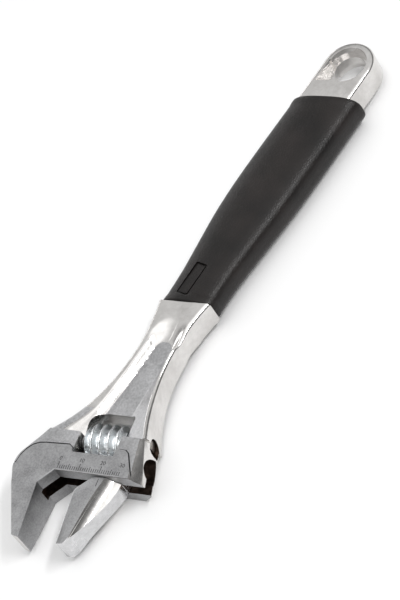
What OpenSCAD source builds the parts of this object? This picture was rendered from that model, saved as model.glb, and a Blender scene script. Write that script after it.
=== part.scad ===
// Adjustable wrench: forged handle with the fixed jaw, movable jaw on a round rack bar,
// adjusting worm with its pin and spring, and a moulded handle sleeve.
// Millimetres. +X runs from the jaws to the hanging hole, +Z through the thickness.
// Origin: centre of the footprint, on the surface the wrench lies on.

/* [Overall] */
// Length from the fixed jaw's tip to the tail's end
overall_length = 257; // [200:1:310]
// Angle between the jaws and the handle's cross direction
jaw_angle = 15; // [0:0.5:22.5]
// Thickness across the ground head faces
head_thick = 17.6; // [13:0.1:22]
// Thickness of the forged neck and tail
handle_thick = 12.6; // [9:0.1:15]

/* [Jaws] */
// Distance between the jaw faces as shown
jaw_opening = 17.8; // [1:0.1:31]
// Length of the fixed jaw's gripping face
fixed_face_len = 23.7; // [18:0.1:28]
// Thickness of the jaws at their tips
tip_thick = 12; // [8:0.1:15]
// Depth of the relief between the fixed jaw's face and the slide face
throat_rise = 5.5; // [3:0.1:7]
// Length of the slide face from the throat to the cheek's tip
slide_len = 40.5; // [36:0.1:48]
// Thickness of the movable jaw where it meets the slide face
jaw_root_thick = 15.8; // [11:0.1:17]
// Width of the slot that guides the movable jaw
slot_w = 6; // [4.5:0.1:7]
// Side clearance of the movable jaw in the slot and on the slide face
slide_gap = 0.2; // [0.1:0.05:0.4]

/* [Worm drive] */
// Distance from the slide face to the rack channel's axis
channel_x = 8.2; // [7:0.1:10]
// Radius of the rack channel
channel_r = 5.3; // [4:0.1:6]
// Distance from the slide face to the worm's axis
worm_x = 18.6; // [17:0.1:21]
// Outer radius of the worm over its thread crests
worm_r = 8; // [6:0.1:8.6]
// Depth of the rounded thread
thread_depth = 2.4; // [1.2:0.1:3]
// Pitch of the thread
worm_pitch = 4; // [3:0.1:5]
// Length of the worm
worm_len = 18; // [12:0.1:18.4]
// Clearance between the thread and the rack's teeth
mesh_gap = 0.25; // [0.1:0.05:0.4]
// Radius of the worm's pin
pin_r = 2.5; // [1.8:0.1:3]
// Radius of the pin's slotted head
pin_head_r = 4.1; // [3:0.1:4.6]
// Wire diameter of the worm's spring
spring_wire = 0.7; // [0.4:0.1:1]

/* [Handle] */
// Greatest width of the sleeve
sleeve_w = 32; // [27:0.5:38]
// Greatest thickness of the sleeve
sleeve_t = 17; // [14:0.5:21]
// Width of the sleeve at its head end
sleeve_head_w = 24.4; // [23.5:0.1:28]
// Where the sleeve starts along the handle, from the middle of the wrench
sleeve_start = -11; // [-16:0.5:0]
// Where the sleeve ends along the handle, from the middle of the wrench
sleeve_end = 98; // [85:0.5:101]
// Radius of the rounded tail
tail_r = 12; // [10.5:0.1:14]
// Radius of the hanging hole
hang_r = 7.1; // [5:0.1:8]
// Radius of the recess around the hanging hole
hang_pocket_r = 8.9; // [8:0.1:9.5]
// Depth of the recess around the hanging hole
hang_pocket_depth = 4.2; // [2:0.1:5]
// Distance from the handle's axis to the neck's edge on the heel's side
neck_near = 13; // [11:0.1:14]
// Distance from the handle's axis to the neck's edge behind the fixed jaw
neck_far = 3.9; // [2:0.1:7]
// Depth of the neck's recessed panel
panel_depth = 2.6; // [1:0.1:3.5]

/* [Hidden] */
$fn = 96;

eps = 0.01;
half_len = overall_length / 2;
hang_x = half_len - tail_r;
jaw_reach = fixed_face_len + throat_rise + 0.85;
tip_drop = 0.7;
tip_high = 3.3;
throat_pos_x = -half_len + (jaw_reach - tip_drop) * cos(jaw_angle)
    + (throat_rise + tip_high) * sin(jaw_angle);
throat_pos_y = -0.4;
// crown of the head behind the fixed jaw, in the head's own frame
crown_x = 1.5;
crown_y = 10.3;
crown_r = 10;
// the lowest and highest points across the wrench give the middle of its footprint
top_y = throat_pos_y + crown_x * sin(jaw_angle) + crown_y * cos(jaw_angle) + crown_r;
low_y = throat_pos_y - slide_len * cos(jaw_angle);
mid_y = (top_y + low_y) / 2;
lift = max(head_thick, sleeve_t) / 2;
// along the slide direction, measured from the throat towards the cheek's tip
face_s = jaw_opening - throat_rise;
window_s0 = 4.2;
window_s1 = 24;
window_x0 = 8.9;
window_x1 = 30.2;
window_r = 7;
worm_s0 = window_s1 - 0.3 - worm_len;
channel_end_s = -10.3;
rack_s0 = face_s - 4.5;
rack_s1 = face_s + 18.5;
web_s0 = face_s + 0.7;
jaw_out_s = face_s + 17.2;
rack_r = channel_r - 0.1;
counterbore_r = pin_r + 1.5;
counterbore_depth = 6.5;
pin_head_s0 = window_s1 + 2.2;
pin_head_s1 = window_s1 + 8.8;
// forged neck: two large arcs, each from its lowest point to where it meets the head
neck_len = sleeve_start - throat_pos_x;
near_x = throat_pos_x + 0.873 * neck_len;
near_join = [throat_pos_x + 35.9, -23.9];
near_r = arc_radius(near_x - near_join[0], -neck_near - near_join[1]);
far_x = throat_pos_x + 0.643 * neck_len;
far_join = [throat_pos_x + 17.6, 13.6];
far_r = arc_radius(far_x - far_join[0], far_join[1] - neck_far);
tang_w = 18;
tang_t = 9.6;
tang_y = -1.7;
tail_w = 2 * tail_r;

// radius of an arc that rises by dy over dx from its lowest point
function arc_radius(dx, dy) = (dx * dx + dy * dy) / (2 * dy);

// head frame: origin in the throat, -X along the jaws, -Y in the opening direction
module in_head() {
    translate([throat_pos_x, throat_pos_y, 0])
        rotate([0, 0, jaw_angle])
            children();
}

// an upright slab with a plan outline, centred on the mid-plane
module slab(outline, thick) {
    translate([0, 0, -thick / 2])
        linear_extrude(thick)
            polygon(outline);
}

// a round bar or bore along the slide direction, from s0 to s1
module along_slide(x, s0, s1, r) {
    translate([x, -s0, 0])
        rotate([90, 0, 0])
            cylinder(h = s1 - s0, r = r);
}

// the head's thickness profile along the jaws: flat cheeks, then ground flats down to the tips
module jaw_profile(root, tip) {
    taper_x = -throat_rise;
    end_x = -jaw_reach;
    slope = (root - tip) / 2 / (taper_x - end_x);
    over = 4;
    rotate([90, 0, 0])
        translate([0, 0, -60])
            linear_extrude(120)
                polygon([
                    [taper_x, root / 2], [end_x - over, tip / 2 - over * slope],
                    [end_x - over, -tip / 2 + over * slope], [taper_x, -root / 2],
                    [60, -root / 2], [60, root / 2]
                ]);
}

// the bevel that thins the cheek towards its tip
module cheek_profile() {
    half = head_thick / 2;
    bevel = 5;
    rotate([90, 0, 90])
        translate([0, 0, -60])
            linear_extrude(140)
                polygon([
                    [40, half], [-slide_len + bevel, half], [-slide_len, half - 1.9],
                    [-slide_len - 8, half - 5], [-slide_len - 8, -half + 5],
                    [-slide_len, -half + 1.9], [-slide_len + bevel, -half], [40, -half]
                ]);
}

module head_block() {
    arc = [for (a = [112:-8:48]) [crown_x + crown_r * cos(a), crown_y + crown_r * sin(a)]];
    intersection() {
        slab(concat(
            [[-jaw_reach, throat_rise], [-jaw_reach + tip_drop, throat_rise + tip_high]],
            arc,
            [
                [18.6, 9.6], [18.6, -8], [28.5, -24], [34, -30.9], [28.6, -32.2],
                [22, -34.6], [12.5, -38.2], [5, -40.1], [0, -slide_len], [0, 0],
                [-throat_rise - 0.85, throat_rise]
            ]
        ), head_thick);
        jaw_profile(head_thick, tip_thick);
        cheek_profile();
    }
}

// the forged neck between the head and the sleeve
module neck() {
    slant = tan(jaw_angle);
    difference() {
        slab([
            [throat_pos_x + 13.9, 15.5], [sleeve_start - 15.5 * slant, 15.5],
            [sleeve_start + 30 * slant, -30], [throat_pos_x + 31.9, -30],
            [throat_pos_x + 25.9, -10]
        ], handle_thick);
        translate([near_x, -neck_near - near_r, -handle_thick])
            cylinder(h = 2 * handle_thick, r = near_r, $fn = 360);
        translate([far_x, neck_far + far_r, -handle_thick])
            cylinder(h = 2 * handle_thick, r = far_r, $fn = 360);
    }
}

// the plain bar inside the sleeve
module tang() {
    translate([sleeve_start - 12, tang_y - tang_w / 2, -tang_t / 2])
        cube([sleeve_end - sleeve_start + 24, tang_w, tang_t]);
}

module tail() {
    slant = tan(jaw_angle);
    translate([hang_x, 0, -handle_thick / 2])
        cylinder(h = handle_thick, r = tail_r);
    slab([
        [sleeve_end - tail_r * slant, tail_r], [hang_x, tail_r],
        [hang_x, -tail_r], [sleeve_end + tail_r * slant, -tail_r]
    ], handle_thick);
}

// the opening in the head that shows the worm
module worm_window() {
    h = head_thick + 2;
    translate([window_x0, -window_s1, -h / 2])
        cube([window_x1 - window_x0, window_s1 - window_s0 - window_r, h]);
    translate([window_x0, -window_s1, -h / 2])
        cube([window_x1 - window_x0 - window_r, window_s1 - window_s0, h]);
    translate([window_x1 - window_r, -window_s0 - window_r, -h / 2])
        cylinder(h = h, r = window_r);
}

// the recessed panel on one side of the neck
module neck_panel() {
    z = handle_thick / 2 - panel_depth;
    hull() {
        translate([sleeve_start - 10.5, -4.9, z])
            cylinder(h = panel_depth + 1, r1 = 3.4, r2 = 6.6, $fn = 48);
        translate([throat_pos_x + 37.9, -8, z])
            cylinder(h = panel_depth + 1, r1 = 5.6, r2 = 8.6, $fn = 48);
    }
}

// the stepped recess on one side of the hanging hole, with its square corner
module hang_recess() {
    z = handle_thick / 2 - hang_pocket_depth;
    slant = tan(jaw_angle);
    translate([hang_x, 0, z])
        cylinder(h = hang_pocket_depth + 1, r = hang_pocket_r);
    translate([0, 0, z])
        linear_extrude(hang_pocket_depth + 1)
            polygon([
                [hang_x, 0], [hang_x - hang_pocket_r + 0.2, 0],
                [hang_x - hang_pocket_r - 2.6 * slant * 4, 9.6], [hang_x, 9.6]
            ]);
}

module body() {
    color([0.66, 0.66, 0.67])
    translate([0, -mid_y, lift])
    difference() {
        union() {
            in_head()
                head_block();
            neck();
            tang();
            tail();
        }
        in_head() {
            worm_window();
            // slot along the slide face
            translate([-throat_rise - 0.85, -slide_len - 10, -slot_w / 2])
                cube([throat_rise + 0.85 + channel_x, slide_len + 10 + throat_rise, slot_w]);
            // rack channel, drilled from the heel
            along_slide(channel_x, channel_end_s, slide_len + 10, channel_r);
            translate([channel_x, -channel_end_s, 0])
                rotate([-90, 0, 0])
                    cylinder(h = 3.2, r1 = channel_r, r2 = 0);
            // pin bore, and the wider bore for the pin's head
            along_slide(worm_x, -1, window_s1 + 20, pin_r + 0.03);
            along_slide(worm_x, pin_head_s0 - 0.1, slide_len + 10, pin_head_r + 0.1);
        }
        neck_panel();
        rotate([180, 0, 0])
            mirror([0, 1, 0])
                neck_panel();
        translate([hang_x, 0, -handle_thick])
            cylinder(h = 2 * handle_thick, r = hang_r);
        hang_recess();
        rotate([180, 0, 0])
            mirror([0, 1, 0])
                hang_recess();
    }
}

// the worm's rounded single-start thread, with its core: an eccentric circle that turns
module thread(s0, s1) {
    turns = (s1 - s0) / worm_pitch;
    translate([worm_x, -s0, 0])
        rotate([90, 0, 0])
            rotate([0, 0, thread_phase(s0)])
                linear_extrude(s1 - s0, twist = -360 * turns, slices = ceil(turns * 20), $fn = 32)
                    translate([thread_depth / 2, 0])
                        circle(r = worm_r - thread_depth / 2);
}

// where the thread's crest lies around the worm, at a distance along it
function thread_phase(s) = 360 * (s - face_s) / worm_pitch;

// the thread's outer radius at an angle from its crest
function thread_r(a) = thread_depth / 2 * cos(a)
    + sqrt(pow(worm_r - thread_depth / 2, 2) - pow(thread_depth / 2 * sin(a), 2));

// one gap between the rack's teeth: a ring that leans with the thread
module tooth_gap(s) {
    lean = atan(worm_pitch / (2 * PI * worm_r));
    half = worm_pitch / 2 + 0.02;
    translate([worm_x, -s, 0])
        rotate([-lean, 0, 0])
            rotate([90, 0, 0])
                rotate_extrude()
                    polygon(concat(
                        [[0, -half]],
                        [for (k = [-5:5]) [thread_r(36 * k) + mesh_gap, half * k / 5]],
                        [[0, half]]
                    ));
}

module movable_jaw() {
    out = jaw_out_s;
    reach = jaw_reach + 0.2;
    color([0.72, 0.72, 0.73])
    translate([0, -mid_y, lift])
    in_head()
    union() {
        // hooked jaw
        intersection() {
            slab([
                [-reach, -face_s], [-throat_rise - 1.3, -face_s],
                [-slide_gap, -face_s - throat_rise - 0.6], [-slide_gap, -out],
                [-10.5, -out + 3.5], [-18.8, -out + 7.7], [-reach, -out + 14]
            ], head_thick);
            jaw_profile(jaw_root_thick + 1.1, tip_thick - 1.3);
            translate([-60, -60, -jaw_root_thick / 2])
                cube([120, 120, jaw_root_thick]);
        }
        // web in the slot
        slab([
            [-slide_gap - 2, -face_s - throat_rise - 2], [-slide_gap - 2, -out + 1.5],
            [-slide_gap, -out], [channel_x, -rack_s1], [channel_x, -web_s0],
            [channel_x - 4.6, -web_s0], [-slide_gap, -face_s - throat_rise - 0.6]
        ], slot_w - 2 * slide_gap);
        // round rack bar with its teeth
        difference() {
            union() {
                along_slide(channel_x, rack_s0, rack_s1, rack_r);
                translate([channel_x, -rack_s0, 0])
                    rotate([-90, 0, 0])
                        cylinder(h = 1.6, r1 = rack_r, r2 = rack_r - 2.6);
            }
            // the crest faces the rack half a pitch from where it stands opposite
            for (k = [-1:6])
                tooth_gap(face_s + worm_pitch * (k - 0.5));
        }
    }
}

module worm() {
    color([0.8, 0.82, 0.86])
    translate([0, -mid_y, lift])
    in_head()
    difference() {
        intersection() {
            thread(worm_s0, worm_s0 + worm_len);
            // rounded ends
            translate([worm_x, -worm_s0, 0])
                rotate([90, 0, 0])
                    rotate_extrude()
                        polygon([
                            [0, 0], [worm_r - 1.6, 0], [worm_r + 0.1, 1.6],
                            [worm_r + 0.1, worm_len - 1.6], [worm_r - 1.6, worm_len],
                            [0, worm_len]
                        ]);
        }
        along_slide(worm_x, worm_s0 - 1, worm_s0 + worm_len + 1, pin_r + 0.05);
        along_slide(worm_x, worm_s0 - 1, worm_s0 + counterbore_depth, counterbore_r);
    }
}

module worm_pin() {
    color([0.45, 0.44, 0.42])
    translate([0, -mid_y, lift])
    in_head()
    difference() {
        union() {
            along_slide(worm_x, -0.8, pin_head_s1 - 1, pin_r);
            along_slide(worm_x, pin_head_s0, pin_head_s1, pin_head_r);
        }
        // screwdriver slot
        translate([worm_x - 0.6, -pin_head_s1 - 1, -pin_head_r - 1])
            cube([1.2, 3, 2 * pin_head_r + 2]);
    }
}

// the wire's cross-section as a crescent around the coil's axis
function crescent(r, w, pitch) = let(span = 180 * w / pitch) concat(
    [for (k = [0:8]) let(a = -span + k * span / 4, t = sqrt(max(0, 1 - pow(a / span, 2))))
        [(r + w / 2 * t) * cos(a), (r + w / 2 * t) * sin(a)]],
    [for (k = [7:-1:1]) let(a = -span + k * span / 4, t = sqrt(max(0, 1 - pow(a / span, 2))))
        [(r - w / 2 * t) * cos(a), (r - w / 2 * t) * sin(a)]]
);

module worm_spring() {
    s0 = window_s0 + 0.15;
    s1 = worm_s0 + counterbore_depth - 0.15;
    coil_pitch = 1.55;
    coil_r = (pin_r + counterbore_r) / 2;
    turns = (s1 - s0) / coil_pitch;
    color([0.55, 0.55, 0.56])
    translate([0, -mid_y, lift])
    in_head()
    translate([worm_x, -s0, 0])
        rotate([90, 0, 0])
            linear_extrude(s1 - s0, twist = -360 * turns, slices = ceil(turns * 16), $fn = 16)
                polygon(crescent(coil_r, spring_wire, coil_pitch));
}

// one rounded-rectangle slice of the sleeve
module sleeve_slice(x, w, t, y) {
    r = 5;
    translate([x, y, 0])
        rotate([90, 0, 90])
            linear_extrude(eps)
                for (a = [-1, 1], b = [-1, 1])
                    translate([a * (w / 2 - r), b * (t / 2 - r)])
                        circle(r = r, $fn = 32);
}

module handle_sleeve() {
    len = sleeve_end - sleeve_start;
    slant = tan(jaw_angle);
    grow = sleeve_w - sleeve_head_w;
    rise = sleeve_t - 14.2;
    stations = [
        [-8, sleeve_head_w - 0.6, 14.2, -2.6],
        [0.15 * len, sleeve_head_w + 0.16 * grow, 14.2 + 0.15 * rise, -1.8],
        [0.38 * len, sleeve_head_w + 0.65 * grow, 14.2 + 0.6 * rise, -0.9],
        [0.62 * len, sleeve_w, sleeve_t, -0.7],
        [0.84 * len, sleeve_w, sleeve_t, -0.7],
        [len + 8, sleeve_w - 1, sleeve_t - 0.4, -0.7]
    ];
    color([0.08, 0.08, 0.09])
    translate([0, -mid_y, lift])
    difference() {
        intersection() {
            union() {
                for (k = [0:len(stations) - 2]) {
                    a = stations[k];
                    b = stations[k + 1];
                    hull() {
                        sleeve_slice(sleeve_start + a[0], a[1], a[2], a[3]);
                        sleeve_slice(sleeve_start + b[0], b[1], b[2], b[3]);
                    }
                }
            }
            slab([
                [sleeve_start - 30 * slant, 30], [sleeve_end - 30 * slant, 30],
                [sleeve_end + 30 * slant, -30], [sleeve_start + 30 * slant, -30]
            ], 40);
        }
        tang();
    }
}

body();
movable_jaw();
worm();
worm_pin();
worm_spring();
handle_sleeve();
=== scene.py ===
import math

import bmesh
import bpy
from mathutils import Matrix, Vector


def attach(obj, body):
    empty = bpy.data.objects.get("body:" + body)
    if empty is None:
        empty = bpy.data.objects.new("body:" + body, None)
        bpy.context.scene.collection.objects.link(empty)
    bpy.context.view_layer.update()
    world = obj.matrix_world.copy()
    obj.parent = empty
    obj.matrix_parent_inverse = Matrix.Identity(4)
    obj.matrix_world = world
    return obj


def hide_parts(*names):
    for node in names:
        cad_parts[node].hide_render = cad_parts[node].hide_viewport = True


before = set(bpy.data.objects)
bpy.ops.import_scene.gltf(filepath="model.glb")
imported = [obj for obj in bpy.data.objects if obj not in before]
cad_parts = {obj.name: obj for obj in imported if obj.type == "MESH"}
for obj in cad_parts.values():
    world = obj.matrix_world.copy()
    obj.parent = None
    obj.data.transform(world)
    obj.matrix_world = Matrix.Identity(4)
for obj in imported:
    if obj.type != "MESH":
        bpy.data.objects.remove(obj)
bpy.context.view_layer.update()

# ---------------------------------------------------------------------------------------------
# Forged body: the handle, the neck and the fixed jaw in one forging of tool steel.
# It is plated bright, and then the flats of the head are ground back to matte steel.
# The window for the worm, the slot, the rack channel and the pin's bores are cut into the head.
# ---------------------------------------------------------------------------------------------
MM = 0.001
JAW_SLANT = math.radians(15)
SLOPE = math.tan(JAW_SLANT)
# middle plane of the wrench, and the handle's own axis across it, in millimetres
MIDDLE_Z = 8.8
AXIS_Y = 9.791
# the throat, where the fixed jaw meets the slide face
THROAT = (-97.872, -0.4)
handle_place = Matrix.Translation((0, AXIS_Y * MM, MIDDLE_Z * MM))
# the head's own frame: -X along the jaws, -Y in the opening direction
throat_place = Matrix.Translation((THROAT[0] * MM, THROAT[1] * MM, 0))
head_place = handle_place @ throat_place @ Matrix.Rotation(JAW_SLANT, 4, "Z")
upside_down = Matrix.Rotation(math.pi, 4, "X")


def ease(value, low, high):
    """A smooth step from 0 at low to 1 at high."""
    t = min(max((value - low) / (high - low), 0.0), 1.0)
    return t * t * (3 - 2 * t)


def between(value, stations):
    """A smooth curve through (place, size) stations."""
    if value <= stations[0][0]:
        return stations[0][1]
    if value >= stations[-1][0]:
        return stations[-1][1]
    k = max(i for i in range(len(stations) - 1) if stations[i][0] <= value)
    before, after = stations[max(k - 1, 0)], stations[min(k + 2, len(stations) - 1)]
    (a, size_a), (b, size_b) = stations[k], stations[k + 1]
    t, span = (value - a) / (b - a), b - a
    leave = (size_b - before[1]) / (b - before[0]) * span
    arrive = (after[1] - size_a) / (after[0] - a) * span
    return (
        (2 * t**3 - 3 * t**2 + 1) * size_a + (t**3 - 2 * t**2 + t) * leave
        + (3 * t**2 - 2 * t**3) * size_b + (t**3 - t**2) * arrive
    )


def new_primitive(name, add, **settings):
    """A primitive added with nothing else selected, and named."""
    bpy.ops.object.select_all(action="DESELECT")
    add(**settings)
    piece = bpy.context.object
    piece.name = piece.data.name = name
    return piece


def plate(name, outline, low, high, place, finish=0):
    """A plate: a disc's rim is pulled to the outline, and its face is drawn up to the thickness."""
    disc = bpy.ops.mesh.primitive_circle_add
    piece = new_primitive(name, disc, vertices=len(outline), radius=MM, fill_type="NGON")
    bpy.ops.object.mode_set(mode="EDIT")
    mesh = bmesh.from_edit_mesh(piece.data)
    for corner, (x, y) in zip(mesh.verts, outline):
        corner.co = place @ Vector((x * MM, y * MM, low * MM))
    bmesh.update_edit_mesh(piece.data)
    bpy.ops.mesh.select_all(action="SELECT")
    rise = place.to_3x3() @ Vector((0, 0, (high - low) * MM))
    bpy.ops.mesh.extrude_region_move(TRANSFORM_OT_translate={"value": rise})
    bpy.ops.mesh.select_all(action="SELECT")
    bpy.ops.mesh.normals_make_consistent(inside=False)
    bpy.ops.object.mode_set(mode="OBJECT")
    return dressed(piece, finish)


def bar(name, start, end, radius, place, finish=0, end_radius=None, sides=64):
    """A round bar or bore between two points: a cone primitive, laid along them."""
    a, b = (place @ (Vector(p) * MM) for p in (start, end))
    turn = (b - a).to_track_quat("Z", "Y").to_euler()
    end_radius = radius if end_radius is None else end_radius
    piece = new_primitive(
        name, bpy.ops.mesh.primitive_cone_add, vertices=sides, radius1=radius * MM,
        radius2=end_radius * MM, depth=(b - a).length, location=(a + b) / 2, rotation=turn,
    )
    bpy.ops.object.transform_apply(location=True, rotation=True, scale=True)
    return dressed(piece, finish)


SEAM_GAP = 0.00001


def skin(name, along, around, point, place, wraps=True, finish=0):
    """A skin over rings of points: a grid's points are pulled into place, and its seams closed."""
    grid = bpy.ops.mesh.primitive_grid_add
    piece = new_primitive(name, grid, x_subdivisions=along, y_subdivisions=around, size=1)
    bpy.ops.object.mode_set(mode="EDIT")
    mesh = bmesh.from_edit_mesh(piece.data)
    for corner in mesh.verts:
        a, b = corner.co.x + 0.5, corner.co.y + 0.5
        corner.co = place @ (Vector(point(a, b)) * MM)
    bmesh.update_edit_mesh(piece.data)
    bpy.ops.mesh.select_all(action="SELECT")
    if wraps:
        bpy.ops.mesh.remove_doubles(threshold=SEAM_GAP)
        bpy.ops.mesh.select_all(action="SELECT")
        bpy.ops.mesh.normals_make_consistent(inside=False)
    bpy.ops.object.mode_set(mode="OBJECT")
    return dressed(piece, finish)


def apply_modifier(piece, kind, **settings):
    modifier = piece.modifiers.new(kind, kind)
    for name, value in settings.items():
        setattr(modifier, name, value)
    bpy.ops.object.select_all(action="DESELECT")
    piece.select_set(True)
    bpy.context.view_layer.objects.active = piece
    bpy.ops.object.modifier_apply(modifier=modifier.name)
    return piece


def cut(piece, tool, how="DIFFERENCE"):
    """A boolean of two closed pieces; a cut face takes the finish of the tool that made it."""
    apply_modifier(piece, "BOOLEAN", object=tool, operation=how, solver="EXACT")
    bpy.data.objects.remove(tool)
    return piece


def shave(piece, point, normal, place):
    """Cuts away what lies beyond a plane, and closes the cut."""
    bpy.ops.object.select_all(action="DESELECT")
    piece.select_set(True)
    bpy.context.view_layer.objects.active = piece
    bpy.ops.object.mode_set(mode="EDIT")
    bpy.ops.mesh.select_all(action="SELECT")
    bpy.ops.mesh.bisect(
        plane_co=place @ (Vector(point) * MM), plane_no=place.to_3x3() @ Vector(normal),
        use_fill=True, clear_outer=True, threshold=0.0000001,
    )
    bpy.ops.object.mode_set(mode="OBJECT")
    return piece


def smoothed(piece, degrees):
    bpy.ops.object.select_all(action="DESELECT")
    piece.select_set(True)
    bpy.context.view_layer.objects.active = piece
    bpy.ops.object.shade_smooth_by_angle(angle=math.radians(degrees), keep_sharp_edges=False)
    return piece


def shader(name):
    material = bpy.data.materials.new(name)
    material.use_nodes = True
    return material, material.node_tree, material.node_tree.nodes["Principled BSDF"]


def grain_group():
    """Fine speckle and slow clouding over a surface: a mask for colour and wear, and a height for bump."""
    group = bpy.data.node_groups.new("surface_grain", "ShaderNodeTree")
    for socket, value in (("Speckle Scale", 900.0), ("Cloud Scale", 60.0)):
        made = group.interface.new_socket(socket, in_out="INPUT", socket_type="NodeSocketFloat")
        made.default_value = value
    for socket in ("Speckle", "Cloud", "Height"):
        group.interface.new_socket(socket, in_out="OUTPUT", socket_type="NodeSocketFloat")
    nodes, links = group.nodes, group.links
    given, out = nodes.new("NodeGroupInput"), nodes.new("NodeGroupOutput")
    place = nodes.new("ShaderNodeTexCoord")
    speckle, cloud = nodes.new("ShaderNodeTexNoise"), nodes.new("ShaderNodeTexNoise")
    speckle.inputs["Detail"].default_value = 3.0
    cloud.inputs["Detail"].default_value = 4.0
    links.new(given.outputs["Speckle Scale"], speckle.inputs["Scale"])
    links.new(given.outputs["Cloud Scale"], cloud.inputs["Scale"])
    for noise in (speckle, cloud):
        links.new(place.outputs["Object"], noise.inputs["Vector"])
    for noise, socket in ((speckle, "Speckle"), (cloud, "Cloud")):
        spread = nodes.new("ShaderNodeMapRange")
        spread.inputs["From Min"].default_value, spread.inputs["From Max"].default_value = 0.3, 0.7
        links.new(noise.outputs["Fac"], spread.inputs["Value"])
        links.new(spread.outputs["Result"], out.inputs[socket])
        if noise is speckle:
            links.new(spread.outputs["Result"], out.inputs["Height"])
    return group


surface_grain = grain_group()


def grained(
    name, dark, light, rough, speckle=900.0, cloud=60.0, depth=0.00001, strength=0.3, cloud_share=0.5,
):
    """A finish with speckle and clouding in its colour and roughness, and a fine bump."""
    material, tree, surface = shader(name)
    nodes, links = tree.nodes, tree.links
    grain = nodes.new("ShaderNodeGroup")
    grain.node_tree = surface_grain
    grain.inputs["Speckle Scale"].default_value = speckle
    grain.inputs["Cloud Scale"].default_value = cloud
    both = nodes.new("ShaderNodeMix")
    both.inputs["Factor"].default_value = cloud_share
    links.new(grain.outputs["Speckle"], both.inputs["A"])
    links.new(grain.outputs["Cloud"], both.inputs["B"])
    tint = nodes.new("ShaderNodeMix")
    tint.data_type = "RGBA"
    tint.inputs["A"].default_value = (*dark, 1)
    tint.inputs["B"].default_value = (*light, 1)
    links.new(both.outputs["Result"], tint.inputs["Factor"])
    links.new(tint.outputs["Result"], surface.inputs["Base Color"])
    sheen = nodes.new("ShaderNodeMapRange")
    sheen.inputs["To Min"].default_value, sheen.inputs["To Max"].default_value = rough
    links.new(both.outputs["Result"], sheen.inputs["Value"])
    links.new(sheen.outputs["Result"], surface.inputs["Roughness"])
    bump = nodes.new("ShaderNodeBump")
    bump.inputs["Distance"].default_value = depth
    bump.inputs["Strength"].default_value = strength
    links.new(grain.outputs["Height"], bump.inputs["Height"])
    links.new(bump.outputs["Normal"], surface.inputs["Normal"])
    surface.inputs["Metallic"].default_value = 1.0
    return material


plated = grained(
    "bright_plating", (0.56, 0.545, 0.53), (0.79, 0.775, 0.76), (0.10, 0.24),
    speckle=500, cloud=90, depth=0.00002, strength=0.12, cloud_share=0.7,
)
ground = grained(
    "ground_steel", (0.24, 0.24, 0.243), (0.47, 0.47, 0.478), (0.34, 0.50),
    speckle=1500, cloud=160, depth=0.00003, strength=0.35, cloud_share=0.45,
)
# the faces of the slot, the rack channel and the pin's bores: machined steel, painted near-black brown as the
# shade inside these narrow recesses
bore_shade = grained(
    "bore_steel_painted_shade", (0.035, 0.024, 0.018), (0.12, 0.085, 0.07), (0.30, 0.55),
    speckle=700, cloud=180, depth=0.00004, strength=0.4,
)
# dark marks: the etched scale and the jaw's index line, and also the painted shadow along the foot of the
# boss step
etched_and_shadow = grained(
    "etched_marks_and_painted_shadow", (0.05, 0.05, 0.052), (0.10, 0.10, 0.10), (0.5, 0.7), speckle=2000, depth=0.00002,
)
forged = grained(
    "forged_matte", (0.33, 0.33, 0.335), (0.60, 0.60, 0.61), (0.30, 0.46),
    speckle=1100, cloud=120, depth=0.00004, strength=0.35, cloud_share=0.4,
)
PLATED, GROUND, BORE_SHADE, ETCHED_AND_SHADOW, FORGED = range(5)
body_finishes = [plated, ground, bore_shade, etched_and_shadow, forged]


def dressed(piece, finish, finishes=None):
    """Gives a piece its finishes, all in one order, so that a cut face keeps its tool's finish."""
    piece.data.materials.clear()
    for material in finishes or body_finishes:
        piece.data.materials.append(material)
    for face in piece.data.polygons:
        face.material_index = finish
    return piece


# head: the flat block with the fixed jaw, its crown and the slide face
HEAD_HALF, EDGE_BEVEL = 8.8, 0.4
JAW_TIP_X, TIP_HALF, TAPER_X = -30.05, 6.0, -5.5
CROWN_X, CROWN_Y, CROWN_R = 1.5, 10.3, 9.98
crown = [
    (CROWN_X + CROWN_R * math.cos(math.radians(turn)), CROWN_Y + CROWN_R * math.sin(math.radians(turn)))
    for turn in range(116, 46, -4)
]
head_outline = [
    (JAW_TIP_X, 5.5), (-29.65, 7.6), (-29.35, 8.8), *crown, (13.8, 13.5), (18.6, 10.3), (18.6, -36.1),
    (12.5, -38.2), (5, -40.1), (0, -40.5), (0, 0), (-6.35, 5.5),
]
body = plate("wrench_body", head_outline, -HEAD_HALF, HEAD_HALF, head_place, FORGED)
apply_modifier(
    body, "BEVEL", width=EDGE_BEVEL * MM, segments=3, limit_method="ANGLE",
    angle_limit=math.radians(60), profile=0.5,
)
taper = (HEAD_HALF - TIP_HALF) / (TAPER_X - JAW_TIP_X)
for side in (1, -1):
    shave(body, (TAPER_X, 0, side * HEAD_HALF), (-taper, 0, side), head_place)
smoothed(body, 25)

# neck: a waisted bar with a long recessed panel on each side, drawn from the head to inside the sleeve
NECK_HALF, PANEL_HALF = 6.3, 3.7
NECK_START, NECK_END = -81.5, -10.9
# the rounding of the long edges, and its share of the way round at each edge
FAR_ROUND, NEAR_ROUND, ROUND_SHARE = 1.5, 1.9, 0.09
# each edge is an arc: the place of its waist, its radius, and how far from the waist it turns straight
FAR_WAIST_X, FAR_WAIST_Y, FAR_SWEEP, FAR_REACH = -42, 3.9, 80.5, 41.3
NEAR_WAIST_X, NEAR_WAIST_Y, NEAR_SWEEP, NEAR_REACH = -22, -13, 79, 60


def far_edge(x):
    run = min(abs(x - FAR_WAIST_X), FAR_REACH)
    return FAR_WAIST_Y + FAR_SWEEP - math.sqrt(FAR_SWEEP**2 - run**2)


def near_edge(x):
    run = min(abs(x - NEAR_WAIST_X), NEAR_REACH)
    return NEAR_WAIST_Y - NEAR_SWEEP + math.sqrt(NEAR_SWEEP**2 - run**2)


def slanted(u, edge):
    """Where a line along the jaw slant, through the axis at u, meets an edge."""
    y = edge(u)
    for _ in range(12):
        y = edge(u - y * SLOPE)
    return y


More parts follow.
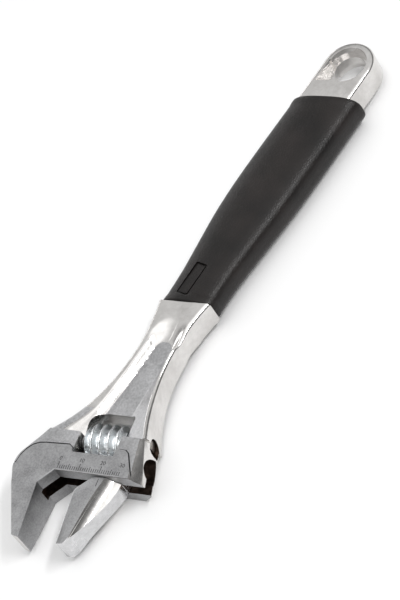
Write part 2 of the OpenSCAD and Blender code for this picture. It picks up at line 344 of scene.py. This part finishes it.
# beside the head the rims are this much higher, and from here they fall, in a shorter run on the far side
RIM_EXTRA, FALL_FROM, FAR_FALL, NEAR_FALL = 1.65, -78.9, 16, 25


def crest(x, y):
    """Height of the rims: nearly as high as the boss by the head, and falling to the neck."""
    u = x + y * SLOPE
    fall = min(max((u - FALL_FROM) / (FAR_FALL if y > -12 else NEAR_FALL), 0.0), 1.0)
    return NECK_HALF + RIM_EXTRA * (1 - fall) ** 1.7


# the top of the far wall, the near side of the floor, and the centre of the panel's round end; then the
# length of the slope at that end, and how far inside the near edge the ridge runs
FAR_RIM = [(-80, 8.5), (-67.5, 3.3), (-50, 1.9), (-20, 1.5)]
FLOOR_NEAR = [(-80, -15.5), (-63.5, -13.1), (-46.4, -11.7), (-28, -10.4)]
PANEL_END_X, END_SLOPE, RIDGE_IN = -32.4, 12, 1.5


def panel(x, y):
    """Share of the way up from the panel's floor to the rim, and the finish there."""
    rim_y = between(x, FAR_RIM)
    upper = -1.4 - 0.6 * ease(x, -66, -50)
    lower = between(x, FLOOR_NEAR)
    ridge = near_edge(x) + RIDGE_IN
    end_y, end_r = (upper + lower) / 2, (upper - lower) / 2
    if x < PANEL_END_X:
        if y > upper:
            return ease(y, upper - 0.5, rim_y), FORGED if y > rim_y + 0.3 and x + y * SLOPE < -66 else PLATED
        if y < lower:
            t = min((lower - y) / max(lower - ridge, 0.1), 1.0)
            return t * 0.9 + 0.1 * ease(t, 0, 1), FORGED if t < 0.93 else PLATED
        return 0.0, FORGED
    d = math.hypot(x - PANEL_END_X, y - end_y) - end_r
    if d < 0:
        return 0.0, FORGED
    turn = math.atan2(y - end_y, x - PANEL_END_X)
    along = max(math.cos(turn), 0.0) ** 1.6
    if turn > 0:
        width = rim_y - upper
        return ease(d, -0.5, width + (END_SLOPE - width) * along), PLATED
    width = max(lower - ridge, 0.8)
    t = min(d / (width + (END_SLOPE - width) * along), 1.0)
    return t * 0.9 * (1 - along) + (0.1 + 0.9 * along) * ease(t, 0, 1), PLATED


def neck_point(a, b):
    """The upper side of the neck, from the far edge's rounding, over the panel, to the near edge's."""
    u = NECK_START + (NECK_END - NECK_START) * a
    far, near = slanted(u, far_edge), slanted(u, near_edge)
    if b < ROUND_SHARE:
        t = (1 - b / ROUND_SHARE) * math.pi / 2
        y, drop = far - FAR_ROUND * (1 - math.sin(t)), FAR_ROUND * (1 - math.cos(t))
    elif b > 1 - ROUND_SHARE:
        t = ((b - 1 + ROUND_SHARE) / ROUND_SHARE) * math.pi / 2
        y, drop = near + NEAR_ROUND * (1 - math.sin(t)), NEAR_ROUND * (1 - math.cos(t))
    else:
        flat_share = 1 - 2 * ROUND_SHARE
        y = far - FAR_ROUND + (near + NEAR_ROUND - far + FAR_ROUND) * (b - ROUND_SHARE) / flat_share
        drop = 0
    x = u - y * SLOPE
    top = crest(x, y)
    rise = panel(x, y)[0]
    return x, y, PANEL_HALF + (top - PANEL_HALF) * rise - drop


neck = skin("neck", 190, 90, neck_point, handle_place, wraps=False, finish=PLATED)
for face in neck.data.polygons:
    where = handle_place.inverted() @ face.center / MM
    face.material_index = panel(where.x, where.y)[1]
# the walls go down to the middle plane, and the other half is its mirror
bpy.ops.object.mode_set(mode="EDIT")
mesh = bmesh.from_edit_mesh(neck.data)
for edge in mesh.edges:
    edge.select_set(edge.is_boundary)
mesh.select_flush_mode()
bmesh.update_edit_mesh(neck.data)
bpy.ops.mesh.select_mode(type="EDGE")
bpy.ops.mesh.extrude_edges_move(TRANSFORM_OT_translate={"value": (0, 0, 0)})
mesh = bmesh.from_edit_mesh(neck.data)
for corner in mesh.verts:
    if corner.select:
        corner.co.z = MIDDLE_Z * MM
bmesh.update_edit_mesh(neck.data)
bpy.ops.mesh.select_mode(type="VERT")
bpy.ops.mesh.select_all(action="SELECT")
bpy.ops.mesh.normals_make_consistent(inside=False)
bpy.ops.object.mode_set(mode="OBJECT")
middle = bpy.data.objects.new("middle", None)
middle.location = (0, 0, MIDDLE_Z * MM)
bpy.context.collection.objects.link(middle)
apply_modifier(
    neck, "MIRROR", use_axis=(False, False, True), mirror_object=middle, use_clip=True,
    merge_threshold=SEAM_GAP,
)
bpy.data.objects.remove(middle)
for face in neck.data.polygons:
    if abs(face.normal.z) < 0.05:
        face.material_index = PLATED
smoothed(neck, 40)
cut(body, neck, "UNION")

# tang inside the sleeve, and the rounded tail with its hanging hole
SLEEVE_START, SLEEVE_END = -11.0, 98.0
TANG_START, TANG_END, TANG_FAR, TANG_NEAR, TANG_HALF = -16, 106, 7.3, -10.7, 4.8
tang_outline = [(TANG_START, TANG_FAR), (TANG_END, TANG_FAR), (TANG_END, TANG_NEAR), (TANG_START, TANG_NEAR)]
tang = plate("tang", tang_outline, -TANG_HALF, TANG_HALF, handle_place, PLATED)
cut(body, tang, "UNION")
TAIL_R, HANG_X, HANG_R, POCKET_R, POCKET_DEPTH = 12.0, 116.5, 7.1, 8.9, 4.2
tail_outline = [
    (HANG_X + TAIL_R * math.cos(math.radians(turn)), TAIL_R * math.sin(math.radians(turn)))
    for turn in range(90, -91, -4)
]
tail_outline += [(SLEEVE_END + TAIL_R * SLOPE - 1.5, -TAIL_R), (SLEEVE_END - TAIL_R * SLOPE - 1.5, TAIL_R)]
tail = plate("tail", tail_outline, -NECK_HALF, NECK_HALF, handle_place, PLATED)
apply_modifier(tail, "BEVEL", width=1.5 * MM, segments=5, limit_method="ANGLE", angle_limit=math.radians(50))
smoothed(tail, 35)
cut(body, tail, "UNION")
cut(body, bar("hang_bore", (HANG_X, 0, -9), (HANG_X, 0, 9), HANG_R, handle_place, PLATED, sides=96))
# the pocket round the hole is drawn out to a corner on the far side
CORNER_X, CORNER_Y, POCKET_FLOOR = HANG_X - POCKET_R - 2.8, 9.6, NECK_HALF - POCKET_DEPTH
for place, flip in ((handle_place, 1), (handle_place @ upside_down, -1)):
    cut(body, bar("pocket", (HANG_X, 0, POCKET_FLOOR), (HANG_X, 0, 9), POCKET_R, place, PLATED, sides=96))
    corner = [
        (HANG_X, 0), (HANG_X - POCKET_R + 0.2, 0), (CORNER_X, flip * CORNER_Y), (HANG_X, flip * CORNER_Y),
    ]
    cut(body, plate("pocket_corner", corner, POCKET_FLOOR, 9, place, PLATED))

# the ground flats stand 0.5 mm above the forged boss behind them
ground_edge = [
    (-1.5, 24), (1.0, 19.1), (4.5, 18.3), (7.6, 16.6), (9.8, 14.4), (10.9, 11.8), (11.3, 9), (11.8, -2.4),
    (9.3, -6), (9.3, -22), (12.5, -25.1), (12.3, -28.4), (11.0, -30.2), (-1.5, -36.7),
]
boss_edge = ground_edge + [(-1.5, -48), (60, -48), (60, 24)]
BOSS_DROP, GROOVE_DEEP = 0.5, 0.3
BOSS_TOP = HEAD_HALF - BOSS_DROP
for place, flip in ((head_place, 1), (head_place @ upside_down, -1)):
    behind = [(x, flip * y) for x, y in boss_edge]
    cut(body, plate("boss_step", behind, BOSS_TOP, 12, place, FORGED))
    # a narrow groove at the foot of the step, given the dark etched finish as a painted shadow of the step
    foot = [(x + 0.75, y + 0.6) if y > -3 else (x + 0.42, y - 0.21) for x, y in ground_edge]
    groove = [(x, flip * y) for x, y in ground_edge + foot[::-1]]
    cut(body, plate("step_painted_shadow", groove, BOSS_TOP - GROOVE_DEEP, HEAD_HALF - 0.2, place, ETCHED_AND_SHADOW))


def run_place(x, y, along):
    """A place for a profile that runs along a line of the head: X outwards, Y up, Z back along it."""
    c, s = Vector(along).normalized()
    turn = Matrix(((s, 0, -c, x * MM), (-c, 0, -s, y * MM), (0, 1, 0, 0), (0, 0, 0, 1)))
    return head_place @ turn


# the heel: its end wall leans in from the middle plane, and a ground bevel falls to the cheek's tip
for side in (1, -1):
    lean = [(0.65, 0), (-3.35, side * 10), (8, side * 10), (8, 0)]
    cut(body, plate("heel_lean", lean, -0.8, 22, run_place(18.6, -36.1, (0.973, 0.230)), PLATED))
    fall = [(-3, side * 10.85), (12, -side * 3.41), (12, side * 12), (-3, side * 12)]
    cut(body, plate("heel_bevel", fall, -19.2, 4, run_place(0, -35.5, (0.989, 0.149)), PLATED))

# the openings: window, slot, rack channel and the two bores of the worm's pin
WORM_X, CHANNEL_X, CHANNEL_R, SLOT_HALF = 18.6, 8.2, 5.3, 3.0
PIN_BORE_R, PIN_HEAD_BORE_R = 2.53, 4.2
WINDOW_X0, WINDOW_X1, WINDOW_S0, WINDOW_S1, WINDOW_R = 8.9, 30.2, 4.2, 24.0, 7.0
window_outline = [(WINDOW_X0, -WINDOW_S1), (WINDOW_X1 - 0.8, -WINDOW_S1), (WINDOW_X1, -WINDOW_S1 + 0.8)]
ROUND_X, ROUND_Y = WINDOW_X1 - WINDOW_R, -WINDOW_S0 - WINDOW_R
window_outline += [
    (ROUND_X + WINDOW_R * math.cos(math.radians(turn)), ROUND_Y + WINDOW_R * math.sin(math.radians(turn)))
    for turn in range(0, 91, 6)
]
window_outline += [(WINDOW_X0 + 0.8, -WINDOW_S0), (WINDOW_X0, -WINDOW_S0 - 0.8)]
cut(body, plate("window", window_outline, -12, 12, head_place, PLATED))
# the slot, the rack channel and the pin's bores take the dark bore finish, painted shade for their insides
slot_outline = [(-8, 8), (CHANNEL_X, 8), (CHANNEL_X, -46), (-8, -46)]
cut(body, plate("slot", slot_outline, -SLOT_HALF, SLOT_HALF, head_place, BORE_SHADE))
cut(body, bar("rack_channel", (CHANNEL_X, 10.3, 0), (CHANNEL_X, -46, 0), CHANNEL_R, head_place, BORE_SHADE))
channel_tip, channel_foot = (CHANNEL_X, 13.5, 0), (CHANNEL_X, 10.25, 0)
cut(body, bar("channel_end", channel_tip, channel_foot, 0.05, head_place, BORE_SHADE, end_radius=CHANNEL_R))
cut(body, bar("pin_bore", (WORM_X, 1, 0), (WORM_X, -44, 0), PIN_BORE_R, head_place, BORE_SHADE, sides=48))
head_start, head_end = (WORM_X, -26.1, 0), (WORM_X, -46, 0)
cut(body, bar("pin_head_bore", head_start, head_end, PIN_HEAD_BORE_R, head_place, BORE_SHADE, sides=48))

# generic millimetre scale, etched along the slide edge of the upper ground face
TICK_START, TICK_HALF, MARK_DEPTH, NUMERAL_SIZE, NUMERAL_X = 0.75, 0.14, 0.1, 2.5, 4.6
marks = []
for s in range(1, 31):
    reach = 3.9 if s % 10 == 1 else 3.1 if s % 5 == 1 else 2.4
    line = [
        (TICK_START, -s - TICK_HALF), (reach, -s - TICK_HALF), (reach, -s + TICK_HALF),
        (TICK_START, -s + TICK_HALF),
    ]
    marks.append(plate("tick", line, HEAD_HALF - MARK_DEPTH, HEAD_HALF + 0.5, head_place, ETCHED_AND_SHADOW))
for number, s in (("0", 1), ("10", 11), ("20", 21), ("30", 30)):
    bpy.ops.object.select_all(action="DESELECT")
    bpy.ops.object.text_add()
    numeral = bpy.context.object
    numeral.data.body = number
    numeral.data.size = NUMERAL_SIZE * MM
    numeral.data.extrude = 3 * MARK_DEPTH * MM
    numeral.data.resolution_u = 3
    numeral.data.align_x = "CENTER"
    bpy.ops.object.convert(target="MESH")
    bpy.ops.object.mode_set(mode="EDIT")
    bpy.ops.mesh.select_all(action="SELECT")
    bpy.ops.mesh.remove_doubles(threshold=0.000001)
    bpy.ops.object.mode_set(mode="OBJECT")
    spot = Matrix.Translation((NUMERAL_X * MM, -s * MM, (HEAD_HALF + 2 * MARK_DEPTH) * MM))
    numeral.data.transform(head_place @ spot @ Matrix.Rotation(-math.pi / 2, 4, "Z"))
    marks.append(dressed(numeral, ETCHED_AND_SHADOW))
for mark in marks:
    mark.select_set(True)
bpy.context.view_layer.objects.active = marks[0]
bpy.ops.object.join()
cut(body, marks[0])

# finishes by place: the ground flats, the fixed jaw's face, the slide face and the bright cheek bevel
to_head = head_place.inverted()
for face in body.data.polygons:
    if face.material_index != FORGED:
        continue
    where = to_head @ face.center / MM
    way = to_head.to_3x3() @ face.normal
    if where.x > 14:
        if abs(way.z) < 0.5:
            face.material_index = PLATED
    elif abs(where.z) > HEAD_HALF - 0.1 and abs(way.z) > 0.98:
        face.material_index = GROUND
    elif where.x < TAPER_X and abs(way.z) > 0.9:
        face.material_index = GROUND
    elif way.y < -0.5 and where.x < 1 or way.x < -0.8 and where.y < 1:
        face.material_index = GROUND
    elif abs(way.z) < 0.97 and where.y < -30:
        face.material_index = PLATED
    elif abs(way.z) < 0.9:
        face.material_index = PLATED

smoothed(body, 28)
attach(body, "wrench")
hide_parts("body")

# ---------------------------------------------------------------------------------------------
# Movable jaw: one forging with the hooked jaw, the thin web that runs in the slot, and the round
# rack bar in its channel. Its teeth are cut to mesh with the worm. The flats are ground.
# ---------------------------------------------------------------------------------------------
FACE_S, JAW_HALF, RACK_R, PITCH = 12.3, 7.9, 5.2, 4.0
WORM_R, THREAD_DEPTH, MESH_GAP = 8.0, 2.4, 0.25
satin = grained(
    "satin_plating", (0.52, 0.52, 0.525), (0.76, 0.76, 0.77), (0.18, 0.32),
    speckle=600, cloud=70, depth=0.00003, strength=0.2, cloud_share=0.6,
)
JAW_SATIN = 4
jaw_finishes = [plated, ground, bore_shade, etched_and_shadow, satin]

jaw_outline = [
    (-30.2, -12.3), (-6.8, -12.3), (-0.2, -18.4), (-0.2, -29.5), (-3, -28.9), (-6, -27.9), (-8.6, -26.9),
    (-11.2, -25.7), (-14, -24.3), (-17, -22.7), (-20.2, -21), (-23.6, -19.2), (-26.8, -17.5), (-29.3, -16.0),
    (-30.0, -15.2),
]
jaw = dressed(plate("hooked_jaw", jaw_outline, -JAW_HALF, JAW_HALF, head_place), JAW_SATIN, jaw_finishes)
for side in (1, -1):
    shave(jaw, (-5.5, 0, side * 8.45), (-0.126, 0, side), head_place)
apply_modifier(jaw, "BEVEL", width=0.3 * MM, segments=2, limit_method="ANGLE", angle_limit=math.radians(32))
# a hollow-ground, polished bevel along each outer edge
HOLLOW_R, HOLLOW_SINK, HOLLOW_RUN = 10, 0.34, 34
for side in (1, -1):
    out = Vector((-0.226, -0.66, side * 0.717)).normalized()
    middle = Vector((-14, -22.3, side * 5.15)) + out * (HOLLOW_R - HOLLOW_SINK)
    run = Vector((29.8, -7.7, side * 2.3)).normalized() * HOLLOW_RUN
    hollow = bar("hollow", middle - run, middle + run, HOLLOW_R, head_place, sides=160)
    cut(jaw, dressed(hollow, 0, jaw_finishes))


def thread_radius(degrees):
    """The thread is a circle set off its axis: its radius at an angle from its crest."""
    off, own = THREAD_DEPTH / 2, WORM_R - THREAD_DEPTH / 2
    turn = math.radians(degrees)
    return off * math.cos(turn) + math.sqrt(own**2 - (off * math.sin(turn)) ** 2)


RACK_START, RACK_CONE, RACK_END = 7.8, 1.6, 30.8
TIP_DROP, LEAST_R = 2.6, 0.3
# the thread leans, so a tooth away from the middle plane is met a little further along
LEAN = PITCH / (2 * math.pi * WORM_R)


def rack_point(a, b):
    """The bar, with the worm's thread swept out of the side that faces it."""
    length = RACK_END - RACK_START + RACK_CONE
    s = RACK_START - RACK_CONE + length * min(max((a - 0.01) / 0.98, 0), 1)
    r = RACK_R if s > RACK_START else RACK_R - TIP_DROP * (RACK_START - s) / RACK_CONE
    if a < 0.005 or a > 0.995:
        r = 0.01
    turn = b * 2 * math.pi
    reach = WORM_X - CHANNEL_X
    for _ in range(3):
        z = r * math.sin(turn)
        gap = thread_radius(360 * (s + z * LEAN - FACE_S) / PITCH + 180) + MESH_GAP
        inside = gap**2 - (reach * math.sin(turn)) ** 2
        if math.cos(turn) > 0 and inside > 0:
            r = min(r, max(reach * math.cos(turn) - math.sqrt(inside), LEAST_R))
    return CHANNEL_X + r * math.cos(turn), -s, r * math.sin(turn)


rack = dressed(skin("rack_bar", 150, 88, rack_point, head_place), JAW_SATIN, jaw_finishes)
web_outline = [(-2.2, -20.3), (-2.2, -28), (-0.2, -29.5), (8.2, -30.8), (8.2, -13), (3.6, -13), (-0.2, -18.4)]
web = dressed(plate("web", web_outline, -2.8, 2.8, head_place), JAW_SATIN, jaw_finishes)
cut(jaw, web, "UNION")
cut(jaw, rack, "UNION")
index_line = [(-4.6, -21.4), (-1.2, -21.4), (-1.2, -21.1), (-4.6, -21.1)]
cut(jaw, plate("index_mark", index_line, JAW_HALF - MARK_DEPTH, JAW_HALF + 1, head_place, ETCHED_AND_SHADOW))
for face in jaw.data.polygons:
    where = to_head @ face.center / MM
    way = to_head.to_3x3() @ face.normal
    if face.material_index == ETCHED_AND_SHADOW or where.x > -0.1:
        continue
    if abs(way.z) > 0.98 or way.y > 0.5:
        face.material_index = GROUND
smoothed(jaw, 24)
jaw.name = jaw.data.name = "hooked_jaw_and_rack"
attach(jaw, "jaw")
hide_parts("movable_jaw")

# ---------------------------------------------------------------------------------------------
# Worm: the adjusting screw in the window, turned from bar with one rounded right-hand thread,
# then zinc plated. It is bored for its pin, with a wider bore for the spring at one end.
# ---------------------------------------------------------------------------------------------
WORM_S0, WORM_S1, BORE_R, SPRING_BORE_R, SPRING_BORE_END = 5.7, 23.7, 2.55, 4.0, 12.2
THREAD_STEPS, END_R, END_RISE = 168, WORM_R - 1.6, 1.06
zinc = grained(
    "zinc_plating", (0.70, 0.73, 0.745), (0.90, 0.93, 0.945), (0.20, 0.36),
    speckle=700, cloud=150, depth=0.00003, strength=0.2,
)
# stations along the worm with a radius each; no radius means the thread's own
worm_stations = [(WORM_S0 + (WORM_S1 - WORM_S0) * k / THREAD_STEPS, None) for k in range(THREAD_STEPS + 1)]
worm_stations += [
    (WORM_S1, 4.5), (WORM_S1, BORE_R), (SPRING_BORE_END, BORE_R), (SPRING_BORE_END, SPRING_BORE_R),
    (WORM_S0, SPRING_BORE_R), (WORM_S0, None),
]


def worm_point(a, b):
    """The threaded outside, chamfered at both ends, then the end face and the two bores."""
    s, r = worm_stations[round(a * (len(worm_stations) - 1))]
    turn = 360 * b
    if r is None:
        chamfer = END_R + END_RISE * min(s - WORM_S0, WORM_S1 - s)
        r = min(thread_radius(turn - 360 * (s - FACE_S) / PITCH), chamfer)
    turn = math.radians(turn)
    return WORM_X + r * math.cos(turn), -s, r * math.sin(turn)


worm = dressed(skin("adjusting_worm", len(worm_stations) - 1, 96, worm_point, head_place), 0, [zinc])
smoothed(worm, 50)
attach(worm, "worm")
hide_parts("worm")

# ---------------------------------------------------------------------------------------------
# Pin and spring: the turned steel pin that the worm runs on, with a slotted head in the heel,
# and the small coil of drawn wire in the worm's wide bore that takes up its play.
# ---------------------------------------------------------------------------------------------
turned = grained(
    "turned_steel", (0.30, 0.28, 0.26), (0.50, 0.48, 0.45), (0.28, 0.45),
    speckle=900, cloud=200, depth=0.00003, strength=0.3,
)
wire = grained(
    "drawn_wire", (0.42, 0.42, 0.43), (0.62, 0.62, 0.63), (0.22, 0.38),
    speckle=1600, cloud=300, depth=0.00002,
)
# stations along the pin, each with its radius, from the inner tip to the slotted head
pin_stations = [
    (-0.8, 0.01), (-0.8, 2.1), (-0.4, 2.5), (26.2, 2.5), (26.2, 3.8), (26.5, 4.1), (29.3, 4.1),
    (32.3, 4.1), (32.8, 3.7), (32.8, 0.01),
]


def pin_point(a, b):
    """A turned pin, with a wider head at the heel."""
    s, r = pin_stations[round(a * (len(pin_stations) - 1))]
    return WORM_X + r * math.cos(2 * math.pi * b), -s, r * math.sin(2 * math.pi * b)


pin = dressed(skin("worm_pin_turned", len(pin_stations) - 1, 56, pin_point, head_place), 0, [turned])
DRIVER_HALF, DRIVER_FOOT = 0.6, -30.8
driver_slot = [
    (WORM_X - DRIVER_HALF, DRIVER_FOOT), (WORM_X + DRIVER_HALF, DRIVER_FOOT),
    (WORM_X + DRIVER_HALF, -34), (WORM_X - DRIVER_HALF, -34),
]
slot_cut = plate("driver_slot", driver_slot, -6, 6, head_place)
cut(pin, dressed(slot_cut, 0, [turned]))
smoothed(pin, 35)
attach(pin, "wrench")
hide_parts("worm_pin")

COIL_R, WIRE_R, COIL_S0, COIL_S1, COIL_PITCH = 3.25, 0.34, 4.7, 11.7, 1.55


def spring_point(a, b):
    """A coil of round wire that is drawn to a point at both ends."""
    turn = 2 * math.pi * (COIL_S1 - COIL_S0) / COIL_PITCH * a
    thick = WIRE_R * min(1, 0.02 + min(a, 1 - a) * 60)
    r = COIL_R + thick * math.cos(2 * math.pi * b)
    s = COIL_S0 + (COIL_S1 - COIL_S0) * a + thick * math.sin(2 * math.pi * b)
    return WORM_X + r * math.cos(turn), -s, r * math.sin(turn)


spring = dressed(skin("worm_spring_coil", 200, 14, spring_point, head_place), 0, [wire])
smoothed(spring, 60)
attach(spring, "wrench")
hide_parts("worm_spring")

# ---------------------------------------------------------------------------------------------
# Handle sleeve: soft black thermoplastic rubber moulded round the handle's bar, with a fine
# leather grain, rolled lips at both slanted ends and a small plain panel sunk near the neck.
# ---------------------------------------------------------------------------------------------
SLEEVE_WIDTH = [(-11, 24.4), (5, 25.0), (20, 27.6), (38, 30.8), (56, 32.0), (98, 31.6)]
SLEEVE_THICK = [(-11, 14.2), (8, 14.8), (34, 16.0), (56, 17.0), (98, 16.7)]
SLEEVE_MIDDLE = [(-11, -2.6), (8, -1.8), (34, -0.9), (56, -0.7), (98, -0.7)]
LIP_ROUND, SLEEVE_STEPS = 1.1, 150
# stations along the sleeve, each with the amount the lip's rounding takes off; none means the bore
lip = [
    (LIP_ROUND * (1 - math.cos(math.radians(turn))), LIP_ROUND * (1 - math.sin(math.radians(turn))))
    for turn in range(0, 91, 15)
]
sleeve_stations = [(SLEEVE_START + inset, sink) for inset, sink in lip]
sleeve_stations += [(SLEEVE_START + 1.5 + 106.0 * k / SLEEVE_STEPS, 0) for k in range(SLEEVE_STEPS + 1)]
sleeve_stations += [(SLEEVE_END - inset, sink) for inset, sink in lip[::-1]]
sleeve_stations += [(SLEEVE_END, None), (SLEEVE_START, None), sleeve_stations[0]]
# half the bore's width and thickness, its middle, and the squareness of its corners
BORE_SECTION = (9.02, 4.82, -1.7, 12)
RIM_RISE, SKIN_DROP, SQUARENESS = 0.25, 0.25, 2.9


def sleeve_point(a, b):
    """The rounded outside with its lips, then the squarer bore that fits the bar."""
    along, sink = sleeve_stations[round(a * (len(sleeve_stations) - 1))]
    turn = 2 * math.pi * b
    c, s = math.cos(turn), math.sin(turn)
    if sink is None:
        half_w, half_t, middle, power = BORE_SECTION
    else:
        # a low rolled rim just inside each lip
        near_end = min(along - SLEEVE_START, SLEEVE_END - along)
        rim = RIM_RISE * ease(near_end, 4.5, 2.2)
        half_w = between(along, SLEEVE_WIDTH) / 2 - sink + rim - SKIN_DROP
        half_t = between(along, SLEEVE_THICK) / 2 - sink + rim - SKIN_DROP
        middle, power = between(along, SLEEVE_MIDDLE), SQUARENESS
    y = middle + half_w * math.copysign(abs(c) ** (2 / power), c)
    z = half_t * math.copysign(abs(s) ** (2 / power), s)
    return along - y * SLOPE, y, z


rubber, tree, surface = shader("grained_rubber")
nodes, links = tree.nodes, tree.links
grain = nodes.new("ShaderNodeGroup")
grain.node_tree = surface_grain
grain.inputs["Speckle Scale"].default_value = 1300.0
grain.inputs["Cloud Scale"].default_value = 70.0
place = nodes.new("ShaderNodeTexCoord")
cells = nodes.new("ShaderNodeTexVoronoi")
cells.feature = "DISTANCE_TO_EDGE"
cells.inputs["Scale"].default_value = 850.0
links.new(place.outputs["Object"], cells.inputs["Vector"])
creases = nodes.new("ShaderNodeMapRange")
creases.inputs["From Max"].default_value = 0.25
links.new(cells.outputs["Distance"], creases.inputs["Value"])
both = nodes.new("ShaderNodeMix")
both.inputs["Factor"].default_value = 0.35
links.new(creases.outputs["Result"], both.inputs["A"])
links.new(grain.outputs["Height"], both.inputs["B"])
tint = nodes.new("ShaderNodeMix")
tint.data_type = "RGBA"
tint.inputs["A"].default_value = (0.0055, 0.0045, 0.0042, 1)
tint.inputs["B"].default_value = (0.016, 0.0125, 0.0115, 1)
links.new(grain.outputs["Cloud"], tint.inputs["Factor"])
links.new(tint.outputs["Result"], surface.inputs["Base Color"])
sheen = nodes.new("ShaderNodeMapRange")
sheen.inputs["To Min"].default_value = 0.46
sheen.inputs["To Max"].default_value = 0.28
surface.inputs["Specular IOR Level"].default_value = 0.3
links.new(both.outputs["Result"], sheen.inputs["Value"])
links.new(sheen.outputs["Result"], surface.inputs["Roughness"])
bump = nodes.new("ShaderNodeBump")
bump.inputs["Distance"].default_value = 0.00008
bump.inputs["Strength"].default_value = 0.8
links.new(both.outputs["Result"], bump.inputs["Height"])
links.new(bump.outputs["Normal"], surface.inputs["Normal"])

moulding = skin("moulded_sleeve", len(sleeve_stations) - 1, 120, sleeve_point, handle_place)
sleeve = dressed(moulding, 0, [rubber])
# a plain panel, sunk a little, inside a narrow moulded groove
BADGE_CENTRE, BADGE_HALF, BADGE_NIP, GROOVE = (0.4, 0.6), (7.3, 2.4), 0.5, 0.55
RECESS_FLOOR, GROOVE_FLOOR = 6.62, 6.25


def badge_outline(grow):
    """A rectangle with cut corners, grown on every side."""
    corners = [(-1, -1), (1, -1), (1, 1), (-1, 1)]
    outline = []
    for k, (i, j) in enumerate(corners):
        x = BADGE_CENTRE[0] + i * (BADGE_HALF[0] + grow)
        y = BADGE_CENTRE[1] + j * (BADGE_HALF[1] + grow)
        nips = [(x - i * BADGE_NIP, y), (x, y - j * BADGE_NIP)]
        outline += nips[::-1] if k % 2 == 0 else nips
    return outline


cut(sleeve, dressed(plate("panel_recess", badge_outline(0), RECESS_FLOOR, 12, handle_place), 0, [rubber]))
groove = dressed(plate("panel_groove", badge_outline(GROOVE), GROOVE_FLOOR, 12, handle_place), 0, [rubber])
cut(groove, dressed(plate("panel_island", badge_outline(0), 5, 13, handle_place), 0, [rubber]))
cut(sleeve, groove)
smoothed(sleeve, 45)
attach(sleeve, "wrench")
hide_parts("handle_sleeve")

# ---------------------------------------------------------------------------------------------
# Camera, floor and light
# ---------------------------------------------------------------------------------------------
VIEW_AZIMUTH, VIEW_ELEVATION, VIEW_ROLL = -25.457, 46.743, -35.5
VIEW_DISTANCE, VIEW_FOCAL_PX = 1.1114, 2735.0
az, el, roll = (math.radians(v) for v in (VIEW_AZIMUTH, VIEW_ELEVATION, VIEW_ROLL))
back = Vector((math.sin(az) * math.cos(el), -math.cos(az) * math.cos(el), math.sin(el)))
flat = Vector((math.cos(az), math.sin(az), 0))
upright = back.cross(flat)
right = flat * math.cos(roll) + upright * math.sin(roll)
up = -flat * math.sin(roll) + upright * math.cos(roll)
VIEW_TARGET = Vector((-0.0050, 0.0047, 0.0103))
SENSOR_WIDTH, FRAME_PX = 36, 400
eye = VIEW_TARGET + back * VIEW_DISTANCE
lens = bpy.data.cameras.new("camera")
lens.sensor_fit = "HORIZONTAL"
lens.sensor_width = SENSOR_WIDTH
lens.lens = VIEW_FOCAL_PX * SENSOR_WIDTH / FRAME_PX
camera = bpy.data.objects.new("camera", lens)
bpy.context.collection.objects.link(camera)
camera.matrix_world = Matrix((
    (right.x, up.x, back.x, eye.x),
    (right.y, up.y, back.y, eye.y),
    (right.z, up.z, back.z, eye.z),
    (0, 0, 0, 1),
))
bpy.context.scene.camera = camera

floor = new_primitive("floor", bpy.ops.mesh.primitive_plane_add, size=12)
floor_paint, _, floor_surface = shader("floor_paint")
floor_surface.inputs["Base Color"].default_value = (0.93, 0.93, 0.93, 1)
floor_surface.inputs["Roughness"].default_value = 0.9
floor.data.materials.append(floor_paint)

sky = bpy.data.worlds.new("studio")
bpy.context.scene.world = sky
sky.use_nodes = True
nodes, links = sky.node_tree.nodes, sky.node_tree.links
way = nodes.new("ShaderNodeTexCoord")
split = nodes.new("ShaderNodeSeparateXYZ")
ramp = nodes.new("ShaderNodeValToRGB")
links.new(way.outputs["Generated"], split.inputs["Vector"])
links.new(split.outputs["Z"], ramp.inputs["Fac"])
links.new(ramp.outputs["Color"], nodes["Background"].inputs["Color"])
SKY_STRENGTH, HORIZON, OVERHEAD = 3.3, 0.22, 0.45
stops = ramp.color_ramp.elements
stops[0].position, stops[0].color = 0.0, (HORIZON, HORIZON, HORIZON, 1)
stops[1].position, stops[1].color = 1.0, (OVERHEAD, OVERHEAD, OVERHEAD, 1)
# a grey horizon, a dark band above it and a brighter roof, so that the bright metal has something to show
SKY_SHADES = (
    (0.09, HORIZON), (0.15, 0.05), (0.32, 0.05), (0.54, 0.08), (0.68, 0.23), (0.84, 0.24), (0.92, 0.36),
    (0.95, OVERHEAD),
)
for position, shade in SKY_SHADES:
    stop = stops.new(position)
    stop.color = (shade, shade, shade, 1)
nodes["Background"].inputs["Strength"].default_value = SKY_STRENGTH


AIM = Vector((-0.02, 0, 0))


def softbox(name, place, size, power):
    """A rectangular lamp that points at the wrench."""
    light = bpy.data.lights.new(name, "AREA")
    light.shape, light.size, light.size_y, light.energy = "RECTANGLE", size[0], size[1], power
    lamp = bpy.data.objects.new(name, light)
    bpy.context.collection.objects.link(lamp)
    lamp.location = place
    lamp.rotation_euler = (AIM - Vector(place)).to_track_quat("-Z", "Y").to_euler()


softbox("key_softbox", (-0.75, -0.85, 0.85), (0.8, 0.6), 3)
softbox("edge_softbox", (0.33, -0.62, 0.95), (0.6, 0.1), 5.5)
softbox("rim_softbox", (0.15, 1.1, 0.45), (1.2, 0.25), 2.5)
bpy.context.scene.view_settings.view_transform = "Standard"
